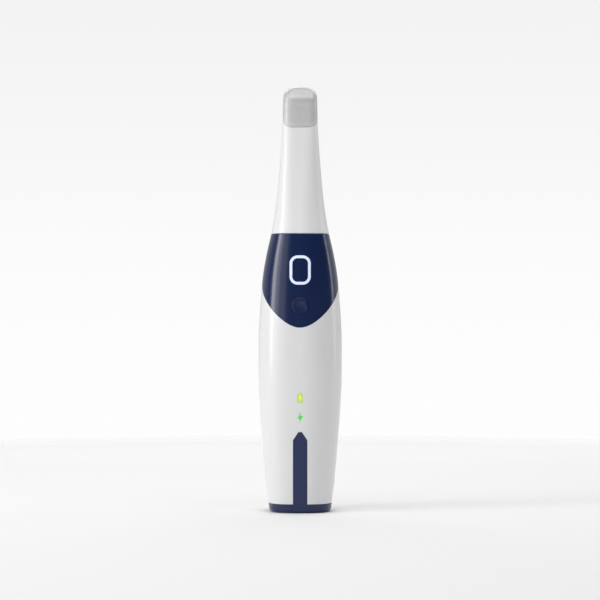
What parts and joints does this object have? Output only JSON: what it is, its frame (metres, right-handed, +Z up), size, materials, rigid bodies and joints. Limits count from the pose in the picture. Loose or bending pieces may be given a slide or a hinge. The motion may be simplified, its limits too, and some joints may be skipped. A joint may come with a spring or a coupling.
{
  "type": "intraoral scanner",
  "caption": "Wireless handheld intraoral scanner with pull-off mirror tip, button, status lights and slide-out battery foot.",
  "frame": {"origin": "middle of the foot's flat underside, which rests on the table", "axes": "+Z up along the handle to the tip; -Y is the button side; the scan window faces +Y; +X is to the right seen from the button side"},
  "size_m": [0.0462, 0.042, 0.2356],
  "materials": {
    "navy_plastic": "semi-gloss",
    "white_plastic": "satin gloss",
    "grey_hood": "satin, slightly translucent",
    "status_lens": "lit, diffuse",
    "battery_lens": "lit, diffuse",
    "charge_lens": "lit, diffuse",
    "dark_plastic": "matt",
    "clear_glass": "polished, coated",
    "mirror_glass": "front-silvered",
    "soft_rubber": "matt",
    "light_alloy": "brushed",
    "steel": "satin",
    "board_green": "solder mask",
    "chip_black": "matt",
    "radio_can": "tinned",
    "led_white": "clear moulded",
    "gold_contact": "gold plated",
    "cell_wrap": "shrink film"
  },
  "bodies": {
    "body": {"control_collar": "navy_plastic", "status_light": "status_lens", "front_shell": "white_plastic", "rear_shell": "white_plastic", "battery_light": "battery_lens", "charge_light": "charge_lens", "optical_nose": "dark_plastic", "nose_window": "clear_glass", "nose_seal": "soft_rubber", "nose_screws": "steel", "lens_barrel": "dark_plastic", "objective_lens": "clear_glass", "relay_lens": "clear_glass", "optics_block": "dark_plastic", "beam_splitter": "clear_glass", "camera_board": "board_green", "image_sensor": "chip_black", "projector_module": "dark_plastic", "projector_board": "board_green", "inner_frame": "light_alloy", "frame_screws": "steel", "main_board": "board_green", "board_screws": "steel", "board_chips": "chip_black", "button_switch": "dark_plastic", "status_leds": "led_white", "wireless_module": "radio_can", "indicator_board": "board_green", "indicator_leds": "led_white", "battery_bay": "dark_plastic", "bay_contacts": "gold_contact"},
    "tip": {"tip_sleeve": "white_plastic", "tip_hood": "grey_hood", "tip_mirror": "mirror_glass", "scan_window": "clear_glass"},
    "button": {"scan_button": "navy_plastic"},
    "battery": {"foot_cap": "navy_plastic", "battery_case": "dark_plastic", "battery_cell": "cell_wrap", "battery_board": "board_green", "battery_terminals": "gold_contact", "charging_contacts": "gold_contact"}
  },
  "joints": [
    {"name": "tip_lift", "type": "slide", "parent": "body", "child": "tip", "axis": [0, 0, 1], "range_m": [0, 0.058]},
    {"name": "button_press", "type": "slide", "parent": "body", "child": "button", "axis": [0, 1, 0], "range_m": [0, 0.0006], "stiffness_N_per_m": 1000, "springref_m": -0.0005},
    {"name": "battery_slide", "type": "slide", "parent": "body", "child": "battery", "axis": [0, 0, -1], "range_m": [0, 0.08]}
  ]
}
